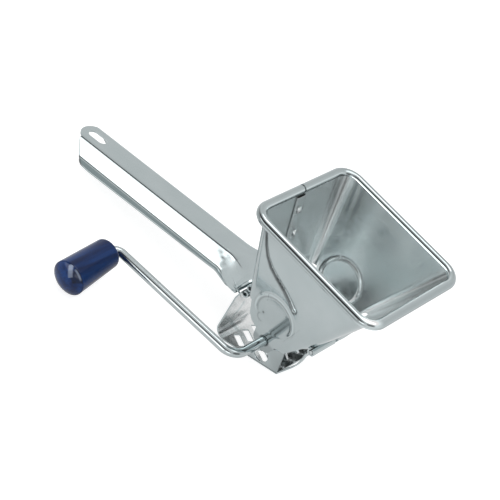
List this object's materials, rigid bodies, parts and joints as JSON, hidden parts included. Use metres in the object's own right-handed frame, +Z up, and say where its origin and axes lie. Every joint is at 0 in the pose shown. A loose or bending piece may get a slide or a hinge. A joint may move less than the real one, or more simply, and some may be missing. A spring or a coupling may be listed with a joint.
{
  "type": "hand-cranked herb mill",
  "caption": "Hand-cranked herb mill: square sheet-steel hopper with rolled rim, channel handle, wire crank with dark blue knob, toothed discs and a slotted shell that swings open.",
  "frame": {"origin": "on the table, under the middle of the bounding box, with the mill standing on its shell", "axes": "+X from the handle's free end to the hopper's front, +Y from the crank's side to the far side along the crank axis, +Z up out of the mouth"},
  "size_m": [0.2058, 0.1221, 0.0906],
  "materials": {
    "polished_steel": "polished",
    "plain_steel": "plain",
    "cutter_steel": "ground",
    "knob_plastic": "glossy"
  },
  "bodies": {
    "frame": {"hopper": "polished_steel", "rim_roll": "polished_steel", "rim_wire": "plain_steel", "seam_strap": "polished_steel", "near_bush": "plain_steel", "far_bush": "plain_steel", "handle": "polished_steel", "root_plate": "polished_steel", "handle_rivets": "plain_steel", "stripper_comb": "cutter_steel", "hinge_pin": "plain_steel"},
    "shell": {"slotted_shell": "polished_steel"},
    "crank": {"crank_rod": "polished_steel", "near_collar": "plain_steel", "far_collar": "plain_steel", "cutter_disc_1": "cutter_steel", "cutter_disc_2": "cutter_steel", "cutter_disc_3": "cutter_steel", "cutter_disc_4": "cutter_steel", "cutter_disc_5": "cutter_steel", "cutter_disc_6": "cutter_steel", "cutter_disc_7": "cutter_steel", "cutter_disc_8": "cutter_steel", "spacer_1": "plain_steel", "spacer_2": "plain_steel", "spacer_3": "plain_steel", "spacer_4": "plain_steel", "spacer_5": "plain_steel", "spacer_6": "plain_steel", "spacer_7": "plain_steel", "spacer_8": "plain_steel", "spacer_9": "plain_steel", "knob_retainer": "plain_steel"},
    "knob": {"knob": "knob_plastic", "knob_cap": "knob_plastic"}
  },
  "joints": [
    {"name": "shell_swing", "type": "hinge", "parent": "frame", "child": "shell", "pos_m": [0.08025, 0.02215, 0.0427], "axis": [0, -1, 0], "range_deg": [0, 100]},
    {"name": "crank_turn", "type": "hinge", "parent": "frame", "child": "crank", "pos_m": [0.05605, 0.02215, 0.0232], "axis": [0, 1, 0], "continuous": true},
    {"name": "knob_turn", "type": "hinge", "parent": "crank", "child": "knob", "pos_m": [-0.02742, -0.04374, 0.01047], "axis": [0.0973, -0.9927, -0.0711], "continuous": true}
  ]
}
